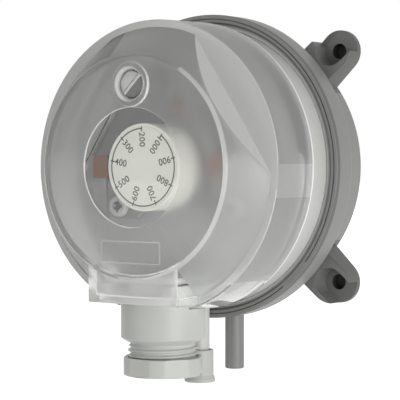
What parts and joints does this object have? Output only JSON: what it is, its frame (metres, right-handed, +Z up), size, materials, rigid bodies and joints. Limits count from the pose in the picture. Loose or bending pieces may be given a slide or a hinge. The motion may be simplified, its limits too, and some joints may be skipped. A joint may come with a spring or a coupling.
{
  "type": "differential pressure switch",
  "caption": "Round wall-mounted air pressure switch: grey base with corner lugs, white body, clear coned cover over a setting dial, cable gland and hose ports below.",
  "frame": {"origin": "middle of the flat rear face that lies on the wall, on the axis of the switch", "axes": "+Y is the rear face's outward normal, into the wall; the dial faces -Y; +Z is up; +X is to the right of someone who looks at the dial; the gland and ports point down, -Z"},
  "size_m": [0.085, 0.0585, 0.1025],
  "materials": {
    "grey_nylon": "moulded mid grey glass-filled nylon, fine matt grain",
    "white_nylon": "moulded off-white nylon, satin",
    "ivory_nylon": "moulded warm white nylon, satin",
    "light_grey_nylon": "moulded light grey nylon, satin",
    "clear_styrene": "clear moulded polystyrene, finely sparked and slightly smoky, polished over the dial",
    "silicone_rubber": "red-brown silicone, matt",
    "black_rubber": "black nitrile rubber, matt",
    "brass": "stamped tinned brass, copper-brown where the tin is worn",
    "spring_copper": "rolled beryllium copper strip",
    "silver": "silver contact rivet, satin",
    "steel": "zinc-plated steel"
  },
  "bodies": {
    "housing": {"base_housing": "grey_nylon", "diaphragm": "silicone_rubber", "upper_body": "white_nylon", "cover_seal": "black_rubber", "switch_carrier": "light_grey_nylon", "carrier_screw_left": "steel", "carrier_screw_right": "steel", "common_terminal": "brass", "normally_closed_terminal": "brass", "normally_open_terminal": "brass", "common_rivet": "silver", "closed_rivet": "silver", "open_rivet": "silver", "range_spring": "steel", "gland_body": "light_grey_nylon", "gland_washer": "white_nylon", "gland_seal": "black_rubber"},
    "plunger": {"plunger": "white_nylon", "front_diaphragm_plate": "steel", "spring_cup": "white_nylon"},
    "blade": {"contact_blade": "spring_copper", "moving_contact": "silver"},
    "seat": {"spring_seat": "ivory_nylon"},
    "dial": {"dial_knob": "ivory_nylon", "dial_scale": "ivory_nylon"},
    "cover": {"cover": "clear_styrene"},
    "cover_screw": {"cover_screw": "steel"},
    "gland_nut": {"gland_nut": "light_grey_nylon"},
    "port_cap": {"port_cap": "ivory_nylon"}
  },
  "joints": [
    {"name": "plunger_push", "type": "slide", "parent": "housing", "child": "plunger", "axis": [0, -1, 0], "range_m": [0, 0.0008], "stiffness_N_per_m": 600, "deforming": ["diaphragm", "range_spring"]},
    {"name": "blade_swing", "type": "hinge", "parent": "housing", "child": "blade", "pos_m": [-0.017, -0.03945, 0], "axis": [0, 0, -1], "range_deg": [0, 2.9]},
    {"name": "dial_turn", "type": "hinge", "parent": "housing", "child": "dial", "pos_m": [0, -0.052, 0], "axis": [0, 1, 0], "range_deg": [0, 322]},
    {"name": "seat_travel", "type": "slide", "parent": "housing", "child": "seat", "axis": [0, 1, 0], "range_m": [0, 0.0025], "deforming": ["range_spring"]},
    {"name": "cover_off", "type": "slide", "parent": "housing", "child": "cover", "axis": [0, -1, 0], "range_m": [0, 0.05]},
    {"name": "cover_screw_turn", "type": "hinge", "parent": "cover", "child": "cover_screw", "pos_m": [0, -0.055, 0.0218], "axis": [0, -1, 0], "continuous": true},
    {"name": "gland_nut_turn", "type": "hinge", "parent": "housing", "child": "gland_nut", "pos_m": [0, -0.0434, -0.0535], "axis": [0, 0, 1], "continuous": true},
    {"name": "cap_off", "type": "slide", "parent": "housing", "child": "port_cap", "axis": [0, 0, -1], "range_m": [0, 0.012]}
  ],
  "couplings": [
    {"joint": "blade_swing", "follows": "plunger_push", "rad_per_m": 58.82},
    {"joint": "seat_travel", "follows": "dial_turn", "m_per_rad": 0.0004448}
  ]
}
